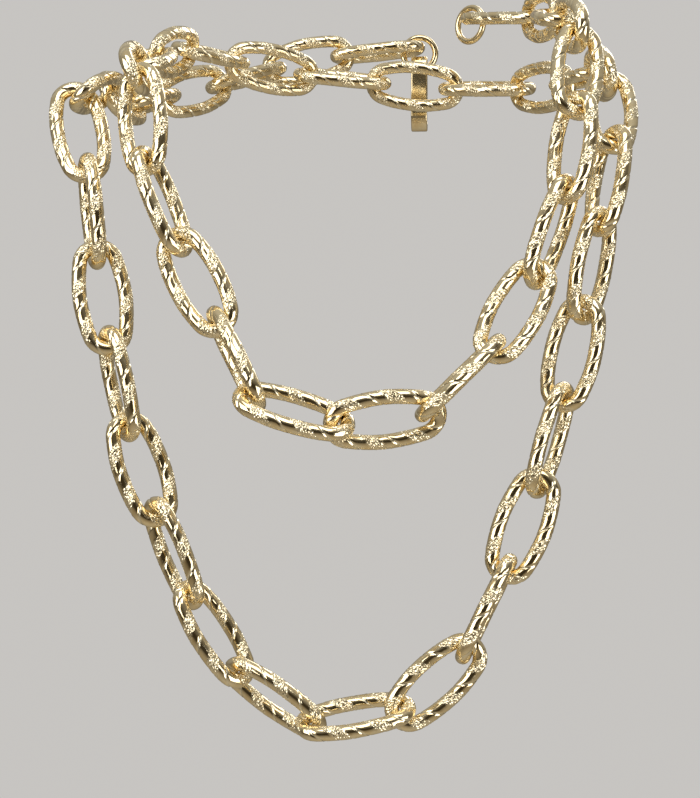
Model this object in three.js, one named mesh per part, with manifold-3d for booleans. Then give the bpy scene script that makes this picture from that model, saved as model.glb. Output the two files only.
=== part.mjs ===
// Long chain necklace of oval links, worn as two turns round a neck. Millimetres, +Z up.
// The origin is the middle of the neck, level with the tops of the shoulders. The chest faces -Y.
// The chain is one run of links. It leaves the clasp behind the neck, comes over the left shoulder,
// crosses the chest as the outer strand, goes over the right shoulder and round behind the neck,
// comes over the left shoulder again, crosses the chest as the inner strand, and goes back over the
// right shoulder to the end ring. The clasp, which hooks the end ring when the necklace is closed,
// is open here and hangs beside it.
import * as THREE from "three";
import { mergeVertices } from "three/addons/utils/BufferGeometryUtils.js";
import Module from "manifold-3d";

const wasm = await Module();
wasm.setup();

// Chain link: an oval of round wire with round ends and bowed sides.
const LINKS = 50;
const WIRE = 4.5;
const LINK_LENGTH = 36;
const LINK_WIDTH = 18;
const END_RADIUS = 5.4; // of the wire's centreline round each end
const CLEARANCE = 0.4; // between linked pieces

// Small rings at the two ends of the chain.
const RING_WIRE = 2.2;
const RING_RADIUS = 6;

// Clasp: a flat hook with a sprung lever across its mouth. Its eye is at its own origin and its hook
// points along +X, with the mouth on +Y and its thickness along Z.
const CLASP_THICKNESS = 6;
const EYE_RADIUS = 5;
const EYE_HOLE = 2.4;
const HOOK_X = 17; // centre of the hook's bend
const HOOK_RADIUS = 6;
const HOOK_HOLE = 3.2;
const TIP_ANGLE = 62; // where the hook's tip ends, from +X
const SHOULDER_X = 12; // the body's face towards the hook
const PIVOT = { x: 8.6, y: 2.2 };
const PIN_RADIUS = 0.9;
const PIN_FIT = 0.1;
const SLOT = 2.8; // width of the slot that the lever turns in
const SLOT_X = 5;
const SLOT_FLOOR = -0.3;
const LEVER_HALF = 1.3;
const LEVER_TAIL = { x: 5.6, y: 7.6 };

// Finish.
const GOLD = new THREE.Color(0.86, 0.72, 0.47);
const ROUGHNESS = 0.28;

// How finely the solids are divided.
const LINK_END_STEPS = 6;
const LINK_SIDE_STEPS = 4;
const LINK_SIDES = 6;
const RING_STEPS = 14;
const RING_SIDES = 6;
const CLASP_STEPS = 8;
const MERGE = 1e-4;

// Where the strands run: points on the line through the middle of the wire ovals.
const CLASP_TO_LEFT = [
  [20.6, 85.2, 40.9], [-3, 86.5, 38.5], [-21, 83, 34.5], [-38, 72, 28], [-56, 57, 20],
  [-68, 37, 13], [-74, 17, 9],
];
const OUTER_STRAND = [
  [-77, -1, 9], [-80.5, -26, 6], [-80, -38, -20.5], [-76, -41.5, -47], [-72, -45, -72.5],
  [-65.5, -47.5, -99], [-57, -49.5, -124], [-46.5, -51, -148.5], [-32.5, -52.5, -170],
  [-11.5, -55, -184], [15, -56, -179.7], [35, -54, -163.5], [45, -53, -141.5], [55, -52, -116.5],
  [62.5, -50.5, -90.5], [69, -49.5, -63.5], [74.5, -48.5, -36], [79.5, -41.5, -11],
  [80.5, -23, 9],
];
const BEHIND_THE_NECK = [
  [78, 2, 16.5], [73, 27, 17], [58, 48.5, 19], [33, 60, 22], [2, 63.2, 25], [-28, 57, 28],
  [-50, 38.5, 30], [-61, 12, 25], [-64, -16, 16],
];
const INNER_STRAND = [
  [-64.5, -45, 7], [-60, -50.5, -19], [-50.5, -55, -43.5], [-38, -60.5, -68],
  [-26.5, -69.5, -88.5], [-1, -73.5, -97], [23, -68.5, -93.5], [41, -63.5, -74],
  [54.5, -56.5, -52.5], [63.5, -53, -27.5], [67.5, -48, -2.5], [70, -33.5, 21],
];
const RIGHT_TO_END_RING = [
  [67, -10, 31.5], [68, 16, 38], [60, 42, 43], [42, 60, 47], [21, 70, 50], [-2, 76, 51],
];

// How far each link is turned from lying flat to a viewer in front, in degrees, along the chain.
// Links the wearer's neck hides are left to alternate.
const FIRST_SEEN = 6;
const TURNS = [
  85, -8, 70, -8, 62, -24, 54, -50, 48, -64, 5, 72, -8, 62, -24, 46, -62, 12, 85,
];
const FIRST_SEEN_AGAIN = 33;
const TURNS_AGAIN = [20, -60, 38, -66, 8, 72, -66, 8, 80, -28, 44, -50, 20, 85];
// Two linked ovals cross at a right angle, give or take this.
const MOST_SKEW = 20;
const SKEW_STEP = 2;

const degrees = THREE.MathUtils.degToRad;
const radiansToDegrees = THREE.MathUtils.radToDeg;

// The half length and half width of a link's centreline, and half the distance between the centres
// of its two round ends.
const HALF_LENGTH = (LINK_LENGTH - WIRE) / 2;
const HALF_WIDTH = (LINK_WIDTH - WIRE) / 2;
const HALF_CORE = HALF_LENGTH - END_RADIUS;
// The distance between the end centres of two linked links that hang taut.
const JOIN = 2 * END_RADIUS - WIRE - CLEARANCE;
const RING_DROP = RING_RADIUS - (WIRE + RING_WIRE) / 2 - CLEARANCE;
// A ring through a thick eye also curves towards the eye's rim on both faces.
const RING_BEND = RING_RADIUS - Math.sqrt(RING_RADIUS ** 2 - (CLASP_THICKNESS / 2) ** 2);
const EYE_JOIN = RING_RADIUS - RING_WIRE / 2 + EYE_HOLE - RING_BEND - CLEARANCE;

const necklace = new THREE.Group();

function addMesh(name, geometry, matrix) {
  const finish = new THREE.MeshStandardMaterial({
    color: GOLD, roughness: ROUGHNESS, metalness: 1,
  });
  const mesh = new THREE.Mesh(geometry, finish);
  mesh.name = name;
  mesh.matrixAutoUpdate = false;
  mesh.matrix.copy(matrix);
  necklace.add(mesh);
}

// Points along an arc, without its last one.
function arc(x, y, radius, from, to, steps) {
  return Array.from({ length: steps }, (_, i) => {
    const angle = from + ((to - from) * i) / steps;
    return new THREE.Vector3(x + radius * Math.cos(angle), y + radius * Math.sin(angle), 0);
  });
}

// A curve whose divisions fall on its own points.
class PointCurve extends THREE.CatmullRomCurve3 {
  getPointAt(u, target) {
    return this.getPoint(u, target);
  }

  getTangentAt(u, target) {
    return this.getTangent(u, target);
  }
}

// A closed loop of wire through points.
function wireLoop(points, wire, sides) {
  return new THREE.TubeGeometry(new PointCurve(points, true), points.length, wire / 2, sides, true);
}

function linkGeometry() {
  const sideRadius = (HALF_CORE ** 2 + HALF_WIDTH ** 2 - END_RADIUS ** 2)
    / (2 * (HALF_WIDTH - END_RADIUS));
  const drop = sideRadius - HALF_WIDTH;
  const turn = Math.atan2(drop, HALF_CORE);
  const end = (x, from) => arc(x, 0, END_RADIUS, from - turn, from + turn, LINK_END_STEPS);
  const side = (y, from) => arc(0, y, sideRadius, from + turn, from + Math.PI - turn, LINK_SIDE_STEPS);
  const points = [
    ...end(HALF_CORE, 0), ...side(-drop, 0), ...end(-HALF_CORE, Math.PI), ...side(drop, Math.PI),
  ];
  return wireLoop(points, WIRE, LINK_SIDES);
}

function ringGeometry() {
  return wireLoop(arc(0, 0, RING_RADIUS, 0, 2 * Math.PI, RING_STEPS), RING_WIRE, RING_SIDES);
}

// How far a piece that runs along one direction, in the plane with a normal, is turned from flat.
function turnOf(along, normal) {
  const flat = along.clone().cross(new THREE.Vector3(0, -1, 0)).normalize();
  const deep = along.clone().cross(flat);
  const across = normal.clone().cross(along);
  return radiansToDegrees(Math.atan2(across.dot(deep), across.dot(flat)));
}

// The parameter where a path, from parameter t on, is a given distance from a point.
const PATH_STEP = 1e-3;
const HALVINGS = 30;
function reach(path, from, distance, t) {
  let high = t;
  while (high < 1 && path.getPoint(high).distanceTo(from) < distance) high += PATH_STEP;
  let low = high - PATH_STEP;
  for (let i = 0; i < HALVINGS; i += 1) {
    const middle = (low + high) / 2;
    if (path.getPoint(middle).distanceTo(from) < distance) low = middle;
    else high = middle;
  }
  return high;
}

// A link from its first end centre, with its second one on the path.
function place(path, start, t) {
  const found = reach(path, start, 2 * HALF_CORE, t);
  const end = path.getPoint(found);
  return { start, end, t: found, along: end.clone().sub(start).normalize() };
}

// The link after one, its plane crossing the last one's at an angle. Two linked links share the line
// between their end centres, which lies in both planes, so each can swing round the other's end. The
// next link starts at the swing, in the last one's plane, that brings its far end onto the path.
const MOST_SWING = 1.1;
function following(path, last, cross) {
  const swung = (angle) => {
    const join = last.along.clone().applyAxisAngle(last.normal, angle);
    const next = place(path, last.end.clone().addScaledVector(join, JOIN), last.t);
    next.normal = last.normal.clone().applyAxisAngle(join, degrees(cross));
    next.miss = next.normal.dot(next.along);
    return next;
  };
  let low = -MOST_SWING;
  let high = MOST_SWING;
  const sign = Math.sign(swung(low).miss);
  for (let i = 0; i < HALVINGS; i += 1) {
    const middle = (low + high) / 2;
    if (Math.sign(swung(middle).miss) === sign) low = middle;
    else high = middle;
  }
  const next = swung(high);
  next.normal.addScaledVector(next.along, -next.miss).normalize();
  return next;
}

// The turn wanted of a link, or nothing for one that is left to alternate.
function wantedTurn(index) {
  return TURNS[index - FIRST_SEEN] ?? TURNS_AGAIN[index - FIRST_SEEN_AGAIN];
}

function layLinks(path) {
  const first = place(path, path.getPoint(0), 0);
  first.normal = new THREE.Vector3(0, 0, 1).addScaledVector(first.along, -first.along.z).normalize();
  const links = [first];
  for (let i = 1; i < LINKS; i += 1) {
    const wanted = wantedTurn(i);
    const sign = i % 2 ? 1 : -1;
    const skews = [];
    for (let skew = -MOST_SKEW; skew <= MOST_SKEW; skew += SKEW_STEP) skews.push(skew);
    const tries = (wanted === undefined ? [0] : skews)
      .map((skew) => following(path, links[i - 1], sign * (90 + skew)));
    const error = (link) => {
      const off = turnOf(link.along, link.normal) - (wanted ?? 0);
      return Math.abs(Math.sin(degrees(off)));
    };
    links.push(tries.reduce((best, link) => (error(link) < error(best) ? link : best)));
  }
  return links;
}

// The matrix of a piece that runs along one direction, in the plane with a normal.
function frame(centre, along, normal) {
  return new THREE.Matrix4()
    .makeBasis(along, normal.clone().cross(along), normal)
    .setPosition(centre);
}

const route = [
  ...CLASP_TO_LEFT, ...OUTER_STRAND, ...BEHIND_THE_NECK, ...INNER_STRAND, ...RIGHT_TO_END_RING,
];
const path = new THREE.CatmullRomCurve3(route.map((p) => new THREE.Vector3(...p)));
const links = layLinks(path);
links.forEach((link, i) => {
  const centre = link.start.clone().add(link.end).multiplyScalar(0.5);
  const name = `link_${String(i + 1).padStart(2, "0")}`;
  addMesh(name, linkGeometry(), frame(centre, link.along, link.normal));
});

// A manifold-3d solid of a geometry, and the other way round.
function solidOf(geometry) {
  const bare = new THREE.BufferGeometry();
  const flat = geometry.index ? geometry.toNonIndexed() : geometry;
  bare.setAttribute("position", flat.getAttribute("position"));
  const merged = mergeVertices(bare, MERGE);
  return new wasm.Manifold(new wasm.Mesh({
    numProp: 3,
    vertProperties: merged.attributes.position.array,
    triVerts: new Uint32Array(merged.index.array),
  }));
}

function geometryOf(solid) {
  const mesh = solid.getMesh();
  return new THREE.BufferGeometry()
    .setAttribute("position", new THREE.BufferAttribute(mesh.vertProperties, 3))
    .setIndex(new THREE.BufferAttribute(mesh.triVerts, 1));
}

// A flat piece of a thickness, centred on its own XY plane.
function plate(shape, thickness) {
  const geometry = new THREE.ExtrudeGeometry(shape, {
    depth: thickness, bevelEnabled: false, curveSegments: CLASP_STEPS,
  });
  return solidOf(geometry.translate(0, 0, -thickness / 2));
}

function disc(x, y, radius, thickness) {
  const shape = new THREE.Shape();
  shape.absarc(x, y, radius, 0, 2 * Math.PI);
  return plate(shape, thickness);
}

function polygon(...points) {
  return new THREE.Shape(points.map(([x, y]) => new THREE.Vector2(x, y)));
}

const CUT = 2 * CLASP_THICKNESS; // a thickness that cuts right through
const tipAngle = degrees(TIP_ANGLE);

function claspBody() {
  const outline = new THREE.Shape();
  outline.absarc(0, 0, EYE_RADIUS, Math.PI / 2, 1.5 * Math.PI);
  outline.absarc(HOOK_X, 0, HOOK_RADIUS, -Math.PI / 2, tipAngle);
  outline.absarc(HOOK_X, 0, HOOK_HOLE, tipAngle, -Math.PI / 2, true);
  outline.lineTo(SHOULDER_X, -HOOK_HOLE);
  outline.lineTo(SHOULDER_X, PIVOT.y);
  outline.lineTo(PIVOT.x + LEVER_HALF, EYE_RADIUS);
  const slot = polygon(
    [SLOT_X, SLOT_FLOOR], [HOOK_X, SLOT_FLOOR], [HOOK_X, CUT], [SLOT_X, CUT],
  );
  return plate(outline, CLASP_THICKNESS)
    .subtract(disc(0, 0, EYE_HOLE, CUT))
    .subtract(disc(PIVOT.x, PIVOT.y, PIN_RADIUS + PIN_FIT, CUT))
    .subtract(plate(slot, SLOT));
}

// The lever reaches from its thumb piece, past the pivot, to the inside of the hook's tip.
function claspLever() {
  const tipX = HOOK_X + HOOK_HOLE * Math.cos(tipAngle) - CLEARANCE;
  const tipY = HOOK_HOLE * Math.sin(tipAngle);
  const outline = polygon(
    [PIVOT.x, PIVOT.y - LEVER_HALF],
    [tipX, tipY - LEVER_HALF],
    [tipX, tipY + LEVER_HALF],
    [PIVOT.x + LEVER_HALF, PIVOT.y + 2 * LEVER_HALF],
    [LEVER_TAIL.x + LEVER_HALF, LEVER_TAIL.y],
    [LEVER_TAIL.x, LEVER_TAIL.y],
    [SLOT_X + CLEARANCE, PIVOT.y + LEVER_HALF],
  );
  return plate(outline, SLOT - 2 * CLEARANCE)
    .subtract(disc(PIVOT.x, PIVOT.y, PIN_RADIUS + PIN_FIT, CUT));
}

// A ring that hangs straight down from the end of a link, at one of its end centres. outward is the
// direction from the link's middle to that end.
const DOWN = new THREE.Vector3(0, 0, -1);
function hangingRing(endCentre, outward, linkNormal) {
  const apex = endCentre.clone().addScaledVector(outward, END_RADIUS);
  const wireTangent = linkNormal.clone().cross(outward);
  const normal = wireTangent.addScaledVector(DOWN, -wireTangent.dot(DOWN)).normalize();
  return { centre: apex.addScaledVector(DOWN, RING_DROP), normal };
}

// The clasp is unhooked. It hangs from the first link, and the end ring hangs from the last one.
const first = links[0];
const last = links[LINKS - 1];
const claspRing = hangingRing(first.start, first.along.clone().negate(), first.normal);
const endRing = hangingRing(last.end, last.along, last.normal);
addMesh("clasp_ring", ringGeometry(), frame(claspRing.centre, DOWN, claspRing.normal));
addMesh("end_ring", ringGeometry(), frame(endRing.centre, DOWN, endRing.normal));
const eyeCentre = claspRing.centre.clone().addScaledVector(DOWN, EYE_JOIN);
const claspNormal = DOWN.clone().cross(claspRing.normal);
const claspFrame = frame(eyeCentre, DOWN, claspNormal);
addMesh("clasp_body", geometryOf(claspBody()), claspFrame);
addMesh("clasp_lever", geometryOf(claspLever()), claspFrame);
addMesh("clasp_pin", geometryOf(disc(PIVOT.x, PIVOT.y, PIN_RADIUS, CLASP_THICKNESS)), claspFrame);

export default necklace;
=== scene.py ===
"""A long pale-gold chain of oval diamond-cut links, lying as it is worn in two turns round a neck.

Each link is a closed loop of round wire. A pattern is cut along a right-handed helix round the wire:
a frosted band of small grains, a polished stretch, a narrow bright cut and a polished stretch again.
"""
import math

import bmesh
import bpy
import numpy as np
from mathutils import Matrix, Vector


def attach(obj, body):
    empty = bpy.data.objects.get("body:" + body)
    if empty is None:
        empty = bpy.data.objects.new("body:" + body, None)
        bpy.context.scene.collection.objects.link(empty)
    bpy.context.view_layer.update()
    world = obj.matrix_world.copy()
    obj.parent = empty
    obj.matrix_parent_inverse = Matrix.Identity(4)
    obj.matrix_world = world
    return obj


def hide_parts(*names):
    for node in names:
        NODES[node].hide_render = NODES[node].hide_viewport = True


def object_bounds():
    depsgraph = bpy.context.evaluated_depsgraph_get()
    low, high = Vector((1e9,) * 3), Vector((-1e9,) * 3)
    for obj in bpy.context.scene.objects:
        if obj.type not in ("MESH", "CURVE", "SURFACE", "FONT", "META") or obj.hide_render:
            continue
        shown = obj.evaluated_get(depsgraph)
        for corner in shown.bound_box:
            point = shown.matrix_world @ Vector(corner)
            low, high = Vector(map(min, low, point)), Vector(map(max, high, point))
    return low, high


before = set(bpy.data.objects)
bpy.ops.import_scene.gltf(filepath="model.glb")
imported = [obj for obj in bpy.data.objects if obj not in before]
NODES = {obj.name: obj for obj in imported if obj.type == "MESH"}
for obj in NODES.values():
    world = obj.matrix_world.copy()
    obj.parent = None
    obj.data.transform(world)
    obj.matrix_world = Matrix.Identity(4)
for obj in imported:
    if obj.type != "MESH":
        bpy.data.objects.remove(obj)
CAD_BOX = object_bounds()
MM = 0.001
ROUNDING = 1e-9  # mm, so that no place falls between two arcs
SEED = 7

# The way that the flat sides of links and rings are turned: to the front, a little right and up.
FACING = np.array([0.3, -1.0, 0.2])

# Chain link, mm: wire, half the length and width of the wire's centreline, and its end radius.
WIRE = 4.5
HALF_LENGTH = 15.75
HALF_WIDTH = 6.75
END_RADIUS = 5.4
LINKS = sum(name.startswith("link_") for name in NODES)

# Its sides are wide arcs between the end arcs: distance of the end arcs' centres from the middle, the
# side arcs' radius, half the angle of an end arc, and the length all round, mm.
CORE = HALF_LENGTH - END_RADIUS
SIDE_RADIUS = (CORE**2 + HALF_WIDTH**2 - END_RADIUS**2) / (2 * (HALF_WIDTH - END_RADIUS))
END_TURN = math.atan2(SIDE_RADIUS - HALF_WIDTH, CORE)
PERIMETER = 4 * END_RADIUS * END_TURN + 2 * SIDE_RADIUS * (math.pi - 2 * END_TURN)

# The cut pattern: turns of the helix in one link, and its bands as (share of a turn, divisions).
TURNS = 6
FROST = (0.36, 14)
FIRST_POLISH = (0.24, 5)
CUT = (0.10, 4)
SECOND_POLISH = (0.30, 6)
SIDES = 40

# Depths below the wire's full radius, mm: between grains, on polished stretches and across a cut,
# which drops at one edge and rises gently to the other. A spread over 1 makes deep grains fewer.
GRAIN = 0.22
GRAIN_SPREAD = 1.4
POLISH_DEPTH = 0.10
CUT_DEPTHS = (0.36, 0.27, 0.18)

# Rings, mm, and their divisions.
RING_WIRE = 2.2
RING_RADIUS = 6.0
RING_STEPS = 96
RING_SIDES = 28

# The clasp's pieces, as (node, body, radius of its edges in mm), and how their edges are rounded:
# corners closer than this in metres are one, faces flatter than this are one, and edges sharper than
# this are rounded.
CLASP = (("clasp_body", "clasp", 0.55), ("clasp_lever", "clasp_lever", 0.4), ("clasp_pin", "clasp", 0.2))
SAME_CORNER = 1e-6
FLAT = math.radians(1)
SHARP = math.radians(35)
EDGE_STEPS = 5


def mesh_object(name, points, faces, smooth=True):
    """A mesh object from points in metres and faces, with smooth faces, or a flag for each."""
    mesh = bpy.data.meshes.new(name)
    mesh.from_pydata(points.tolist() if hasattr(points, "tolist") else points, [], faces)
    flags = np.broadcast_to(np.asarray(smooth, bool), len(mesh.polygons)).copy()
    mesh.polygons.foreach_set("use_smooth", flags)
    mesh.update()
    piece = bpy.data.objects.new(name, mesh)
    bpy.context.scene.collection.objects.link(piece)
    return piece


def corners(node):
    """A CAD node's distinct corners, in metres."""
    mesh = NODES[node].data
    found = np.zeros(len(mesh.vertices) * 3, np.float32)
    mesh.vertices.foreach_get("co", found)
    return np.unique(found.reshape(-1, 3).astype(float).round(6), axis=0)


def pose_of(node, towards):
    """Centre and axes (along, across, normal) of a flat symmetric node; along points towards."""
    found = corners(node)
    centre = found.mean(0)
    _, _, axes = np.linalg.svd(found - centre, full_matrices=False)
    along = axes[0] * (1.0 if axes[0] @ towards >= 0 else -1.0)
    normal = axes[2] * (1.0 if axes[2] @ FACING >= 0 else -1.0)
    return centre, np.array([along, np.cross(normal, along), normal])


# ---------------------------------------------------------------- chain links

def outline(distance):
    """Points and outward directions of a link's centreline, at distances along it, in mm."""
    drop = SIDE_RADIUS - HALF_WIDTH
    end_arc = (END_RADIUS, 2 * END_TURN)
    side_arc = (SIDE_RADIUS, math.pi - 2 * END_TURN)
    arcs = [
        (CORE, 0.0, -END_TURN, *end_arc),
        (0.0, -drop, END_TURN, *side_arc),
        (-CORE, 0.0, math.pi - END_TURN, *end_arc),
        (0.0, drop, math.pi + END_TURN, *side_arc),
    ]
    left = np.mod(distance, PERIMETER)
    points = np.zeros(left.shape + (2,))
    outward = np.zeros(left.shape + (2,))
    start = 0.0
    for x, y, from_angle, radius, sweep in arcs:
        length = radius * sweep
        inside = (left >= start) & (left < start + length + ROUNDING)
        angle = from_angle + (left[inside] - start) / radius
        direction = np.stack([np.cos(angle), np.sin(angle)], -1)
        points[inside] = np.array([x, y]) + radius * direction
        outward[inside] = direction
        start += length
    return points, outward


def pattern_turn():
    """One turn of the pattern: each division's place in the turn, and its band."""
    places, bands = [], []
    start = 0.0
    for band, (share, divisions) in enumerate((FROST, FIRST_POLISH, CUT, SECOND_POLISH)):
        places += [start + share * i / divisions for i in range(divisions)]
        bands += [band] * divisions
        start += share
    return np.array(places), np.array(bands)


def fine_link(name, node, body, towards, draw):
    """A link of cut wire in place of a CAD link."""
    places, bands = pattern_turn()
    per_turn = len(places)
    steps = TURNS * per_turn
    pitch = PERIMETER / TURNS
    phase = draw.random()
    turns = np.repeat(np.arange(TURNS), per_turn) + np.tile(places, TURNS) + phase
    round_angle = 2 * np.pi * np.arange(SIDES) / SIDES
    distance = pitch * (turns[:, None] - round_angle[None, :] / (2 * np.pi))
    middle, outward = outline(distance)

    band = np.tile(bands, TURNS)
    frost = band == 0
    frost_vertex = frost | np.roll(frost, 1)
    grain = draw.random((steps, SIDES)) ** GRAIN_SPREAD * GRAIN
    cut = band == 2
    in_cut = cut & np.roll(cut, 1)
    depth = np.where(frost_vertex[:, None], grain, POLISH_DEPTH)
    depth[in_cut] = np.tile(CUT_DEPTHS, TURNS)[:, None]
    radius = WIRE / 2 - depth

    local = np.concatenate([
        middle + outward * (radius * np.cos(round_angle))[..., None],
        (radius * np.sin(round_angle))[..., None],
    ], -1).reshape(-1, 3)
    centre, axes = pose_of(node, towards)
    points = centre + local @ axes * MM

    i, j = np.meshgrid(np.arange(steps), np.arange(SIDES), indexing="ij")
    last = j == SIDES - 1
    beside = np.where(last, 0, j + 1)
    shift = np.where(last, per_turn, 0)
    here, ahead = i, (i + 1) % steps
    quads = np.stack([
        here * SIDES + j,
        ahead * SIDES + j,
        (ahead - shift) % steps * SIDES + beside,
        (here - shift) % steps * SIDES + beside,
    ], -1).reshape(-1, 4)
    piece = mesh_object(name, points, quads.tolist(), ~np.repeat(frost, SIDES))

    mesh = piece.data
    store(mesh, "frost", "FLOAT", np.repeat(frost_vertex, SIDES).astype(np.float32))
    store(mesh, "cut", "FLOAT", np.repeat(in_cut, SIDES).astype(np.float32))
    offset = draw.random(3) * 100
    store(mesh, "place", "FLOAT_VECTOR", (local + offset).astype(np.float32))
    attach(piece, body)
    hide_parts(node)
    return piece


def fine_ring(name, node, body):
    """A round ring of polished wire in place of a CAD ring."""
    centre, axes = pose_of(node, FACING)
    around, section = np.meshgrid(
        2 * np.pi * np.arange(RING_STEPS) / RING_STEPS,
        2 * np.pi * np.arange(RING_SIDES) / RING_SIDES, indexing="ij")
    reach = RING_RADIUS + RING_WIRE / 2 * np.cos(section)
    local = np.stack([reach * np.cos(around), reach * np.sin(around), RING_WIRE / 2 * np.sin(section)], -1)
    points = centre + local.reshape(-1, 3) @ axes * MM
    i, j = np.meshgrid(np.arange(RING_STEPS), np.arange(RING_SIDES), indexing="ij")
    after, beside = (i + 1) % RING_STEPS, (j + 1) % RING_SIDES
    quads = np.stack([
        i * RING_SIDES + j, after * RING_SIDES + j, after * RING_SIDES + beside, i * RING_SIDES + beside,
    ], -1).reshape(-1, 4)
    return stand_for(mesh_object(name, points, quads.tolist()), node, body)


def rounded(name, node, body, edge):
    """A cast finding in place of a CAD one, with edges rounded to a radius in mm."""
    shape = bmesh.new()
    shape.from_mesh(NODES[node].data)
    bmesh.ops.remove_doubles(shape, verts=shape.verts, dist=SAME_CORNER)
    bmesh.ops.dissolve_limit(shape, angle_limit=FLAT, verts=shape.verts, edges=shape.edges)
    mesh = bpy.data.meshes.new(name)
    shape.to_mesh(mesh)
    shape.free()
    piece = bpy.data.objects.new(name, mesh)
    bpy.context.scene.collection.objects.link(piece)
    bevel = piece.modifiers.new("edges", "BEVEL")
    bevel.limit_method = "ANGLE"
    bevel.angle_limit = SHARP
    bevel.width = edge * MM
    bevel.segments = EDGE_STEPS
    bevel.use_clamp_overlap = False
    bevel.harden_normals = True
    graph = bpy.context.evaluated_depsgraph_get()
    piece.data = bpy.data.meshes.new_from_object(piece.evaluated_get(graph))
    piece.data.name = name
    piece.modifiers.clear()
    return stand_for(piece, node, body)


def stand_for(piece, node, body):
    """Makes a finding ride on its body, in place of its CAD node."""
    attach(piece, body)
    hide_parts(node)
    return piece


def store(mesh, name, kind, values):
    """Keeps a value for each corner point on the mesh, for its material to read."""
    key = "value" if kind == "FLOAT" else "vector"
    mesh.attributes.new(name, kind, "POINT").data.foreach_set(key, values.ravel())


# ---------------------------------------------------------------- materials

def node(tree, kind, **settings):
    """Adds a node, setting its properties, or its sockets where a name is a socket's."""
    made = tree.nodes.new(kind)
    for key, value in settings.items():
        if hasattr(made, key):
            setattr(made, key, value)
        else:
            made.inputs[key.replace("_", " ")].default_value = value
    return made


def math_node(tree, operation, a, b):
    """A maths node of two values, each a socket or a number."""
    made = tree.nodes.new("ShaderNodeMath")
    made.operation = operation
    for socket, value in zip(made.inputs, (a, b)):
        if isinstance(value, bpy.types.NodeSocket):
            tree.links.new(value, socket)
        else:
            socket.default_value = value
    return made.outputs[0]


def ramp(tree, value, stops):
    """A colour ramp over a value."""
    made = tree.nodes.new("ShaderNodeValToRGB")
    elements = made.color_ramp.elements
    while len(elements) < len(stops):
        elements.new(0.5)
    for element, (at, colour) in zip(elements, stops):
        element.position = at
        element.color = (*colour, 1.0)
    tree.links.new(value, made.inputs["Fac"])
    return made.outputs["Color"]


def mix_colour(tree, share, first, second):
    """A mix of two colours, each a socket or a colour. 0, 6, 7 and 2 are Mix's sockets for colours."""
    made = tree.nodes.new("ShaderNodeMix")
    made.data_type = "RGBA"
    tree.links.new(share, made.inputs[0])
    for socket, value in ((made.inputs[6], first), (made.inputs[7], second)):
        if isinstance(value, bpy.types.NodeSocket):
            tree.links.new(value, socket)
        else:
            socket.default_value = (*value, 1.0)
    return made.outputs[2]


def new_material(name):
    """A material with its node tree and its shader."""
    made = bpy.data.materials.new(name)
    made.use_nodes = True
    tree = made.node_tree
    return made, tree, tree.nodes["Principled BSDF"]


GOLD_DEEP = (0.86, 0.67, 0.37)
GOLD = (0.94, 0.78, 0.48)
GOLD_PALE = (0.98, 0.88, 0.64)

# Roughness of polished wire, and what wear, frost and cuts add to it.
WIRE_ROUGH = 0.06
WEAR_ROUGH = 0.10
FROST_ROUGH = 0.12
CUT_ROUGH = 0.16


def cut_gold():
    """Pale gold wire: polished, with frosted bands and bright cuts, whose sheen is painted as a paler gold
    colour.
    """
    made, tree, shader = new_material("cut_gold")
    place = node(tree, "ShaderNodeAttribute", attribute_name="place").outputs["Vector"]
    frost = node(tree, "ShaderNodeAttribute", attribute_name="frost").outputs["Fac"]
    cut = node(tree, "ShaderNodeAttribute", attribute_name="cut").outputs["Fac"]
    cloud = node(tree, "ShaderNodeTexNoise", Scale=0.35, Detail=3.0)
    fine = node(tree, "ShaderNodeTexNoise", Scale=2.4, Detail=2.0)
    grains = node(tree, "ShaderNodeTexVoronoi", Scale=1.6)
    for texture in (cloud, fine, grains):
        tree.links.new(place, texture.inputs["Vector"])
    shade = math_node(tree, "ADD", math_node(tree, "MULTIPLY", cloud.outputs["Fac"], 0.7),
                      math_node(tree, "MULTIPLY", fine.outputs["Fac"], 0.3))
    polished = ramp(tree, shade, [(0.30, GOLD_DEEP), (0.5, GOLD), (0.72, GOLD_PALE)])
    # Painted sheen: the frosted bands, and the cuts fully, are coloured paler gold in place of the light
    # they catch.
    painted_sheen = math_node(tree, "MAXIMUM", math_node(tree, "MULTIPLY", frost, 0.6), cut)
    colour = mix_colour(tree, painted_sheen, polished, GOLD_PALE)
    tree.links.new(colour, shader.inputs["Base Color"])
    shader.inputs["Metallic"].default_value = 1.0
    wear = math_node(tree, "MULTIPLY", fine.outputs["Fac"], WEAR_ROUGH)
    frosted = math_node(tree, "MULTIPLY", frost, FROST_ROUGH)
    brushed = math_node(tree, "MULTIPLY", cut, CUT_ROUGH)
    polish = math_node(tree, "ADD", wear, WIRE_ROUGH)
    rough = math_node(tree, "ADD", polish, math_node(tree, "ADD", frosted, brushed))
    tree.links.new(rough, shader.inputs["Roughness"])
    height = math_node(tree, "MULTIPLY", grains.outputs["Distance"], frost)
    bump = node(tree, "ShaderNodeBump", Strength=0.3, Distance=0.0002)
    tree.links.new(height, bump.inputs["Height"])
    tree.links.new(bump.outputs["Normal"], shader.inputs["Normal"])
    return made


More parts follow.
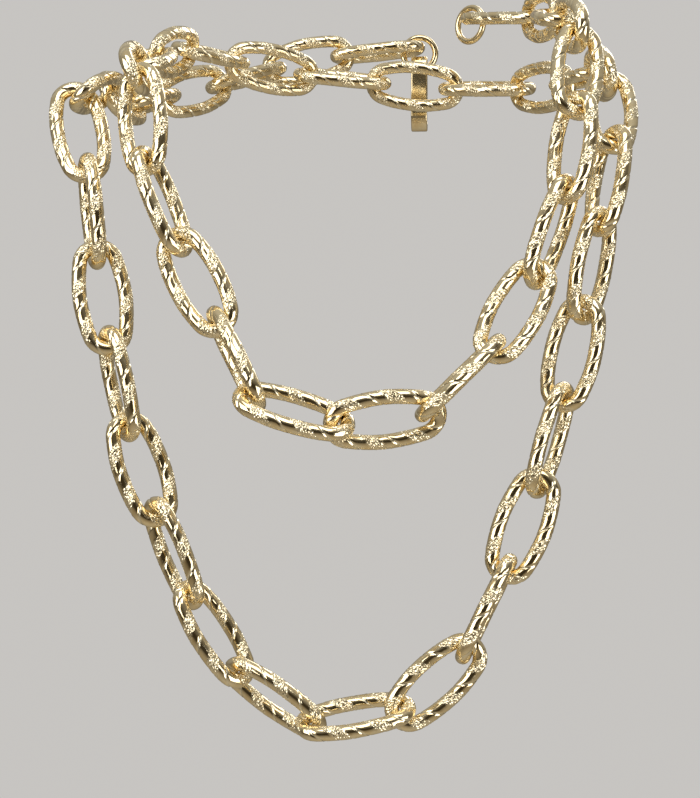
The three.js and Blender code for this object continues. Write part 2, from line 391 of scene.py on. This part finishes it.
def smooth_gold():
    """Pale gold findings: polished, with faint wear."""
    made, tree, shader = new_material("smooth_gold")
    coordinates = tree.nodes.new("ShaderNodeTexCoord").outputs["Object"]
    cloud = node(tree, "ShaderNodeTexNoise", Scale=260.0, Detail=3.0)
    fine = node(tree, "ShaderNodeTexNoise", Scale=2200.0, Detail=2.0)
    for texture in (cloud, fine):
        tree.links.new(coordinates, texture.inputs["Vector"])
    colour = ramp(tree, cloud.outputs["Fac"], [(0.3, GOLD_DEEP), (0.5, GOLD), (0.75, GOLD_PALE)])
    tree.links.new(colour, shader.inputs["Base Color"])
    shader.inputs["Metallic"].default_value = 1.0
    rough = math_node(tree, "ADD", math_node(tree, "MULTIPLY", fine.outputs["Fac"], 0.14), 0.08)
    tree.links.new(rough, shader.inputs["Roughness"])
    bump = node(tree, "ShaderNodeBump", Strength=0.12, Distance=0.0001)
    tree.links.new(fine.outputs["Fac"], bump.inputs["Height"])
    tree.links.new(bump.outputs["Normal"], shader.inputs["Normal"])
    return made


# ---------------------------------------------------------------- studio

# The lens is in mm and the rest in metres. Windows are (name, place, size, power in watts).
LENS = 77.76
CAMERA_PLACE = (0.0, -0.560, -0.090)
MIDDLE = Vector((0.0, 0.0, -0.08))
WINDOWS = (
    ("window_left", (-0.78, -0.62, 0.20), 0.80, 5.4),
    ("window_right", (0.80, -0.66, -0.22), 0.72, 4.4),
    ("window_above", (0.05, -0.60, 0.85), 0.76, 4.6),
    ("window_back", (0.5, 0.9, 0.6), 0.6, 3.0),
)
WALL_COLOUR = (0.57, 0.555, 0.535)
FLOOR_COLOUR = (0.70, 0.68, 0.65, 1.0)
FLOOR_DROP = 0.45
FLOOR_RADIUS = 1.6
FLOOR_CORNERS = 96


def camera():
    """A level camera in front of the chest."""
    lens = bpy.data.cameras.new("camera")
    lens.lens = LENS
    lens.sensor_width = 36.0
    made = bpy.data.objects.new("camera", lens)
    made.location = CAMERA_PLACE
    made.rotation_euler = (math.pi / 2, 0.0, 0.0)
    bpy.context.scene.collection.objects.link(made)
    bpy.context.scene.camera = made


def softbox(name, place, size, power):
    """A square white light that faces the middle of the chain and isn't seen itself."""
    light = bpy.data.lights.new(name, "AREA")
    light.size = size
    light.energy = power
    made = bpy.data.objects.new(name, light)
    made.location = place
    aim = MIDDLE - Vector(place)
    made.rotation_euler = aim.to_track_quat("-Z", "Y").to_euler()
    made.visible_camera = False
    bpy.context.scene.collection.objects.link(made)


def studio():
    """A pale room with a dark band at eye level for the metal to reflect, and a pale floor."""
    world = bpy.data.worlds.new("studio")
    world.use_nodes = True
    tree = world.node_tree
    background = tree.nodes["Background"]
    direction = tree.nodes.new("ShaderNodeTexCoord").outputs["Generated"]
    split = tree.nodes.new("ShaderNodeSeparateXYZ")
    tree.links.new(direction, split.inputs["Vector"])
    height = math_node(tree, "ADD", math_node(tree, "MULTIPLY", split.outputs["Z"], 0.5), 0.5)
    front = ramp(tree, height, [
        (0.0, (0.46, 0.41, 0.33)), (0.30, (0.22, 0.19, 0.145)), (0.43, (0.036, 0.029, 0.018)),
        (0.60, (0.036, 0.029, 0.018)), (0.74, (0.14, 0.13, 0.11)), (1.0, (0.50, 0.49, 0.46)),
    ])
    back = ramp(tree, height, [
        (0.0, (0.40, 0.36, 0.29)), (0.45, (0.17, 0.15, 0.115)), (1.0, (0.50, 0.49, 0.46)),
    ])
    behind = node(tree, "ShaderNodeMapRange", interpolation_type="SMOOTHSTEP")
    behind.inputs["From Min"].default_value = -0.45
    behind.inputs["From Max"].default_value = 0.25
    tree.links.new(split.outputs["Y"], behind.inputs["Value"])
    room = mix_colour(tree, behind.outputs["Result"], front, back)
    path = tree.nodes.new("ShaderNodeLightPath").outputs
    plain = math_node(tree, "MAXIMUM", path["Is Camera Ray"], path["Is Diffuse Ray"])
    seen = mix_colour(tree, plain, room, WALL_COLOUR)
    tree.links.new(seen, background.inputs["Color"])
    bpy.context.scene.world = world

    for window in WINDOWS:
        softbox(*window)

    floor_height = CAD_BOX[0].z - FLOOR_DROP
    rim = [2 * math.pi * k / FLOOR_CORNERS for k in range(FLOOR_CORNERS)]
    floor = mesh_object("floor", [
        (FLOOR_RADIUS * math.cos(angle), FLOOR_RADIUS * math.sin(angle), floor_height) for angle in rim
    ], [tuple(range(FLOOR_CORNERS))], False)
    made, _, shader = new_material("pale_floor")
    shader.inputs["Base Color"].default_value = FLOOR_COLOUR
    shader.inputs["Roughness"].default_value = 0.8
    floor.data.materials.append(made)
    floor.visible_glossy = False


# ---------------------------------------------------------------- the necklace

camera()
studio()
draw = np.random.default_rng(SEED)
gold_wire = cut_gold()
centres = [corners(f"link_{k:02d}").mean(0) for k in range(1, LINKS + 1)]
for k in range(LINKS):
    name = f"link_{k + 1:02d}"
    neighbour = centres[k + 1] - centres[k] if k + 1 < LINKS else centres[k] - centres[k - 1]
    piece = fine_link("fine_" + name, name, name, neighbour, draw)
    piece.data.materials.append(gold_wire)

gold_finding = smooth_gold()
for name in ("clasp_ring", "end_ring"):
    fine_ring("fine_" + name, name, name).data.materials.append(gold_finding)
for name, body, edge in CLASP:
    rounded("fine_" + name, name, body, edge).data.materials.append(gold_finding)

bpy.context.scene.view_settings.view_transform = "Standard"
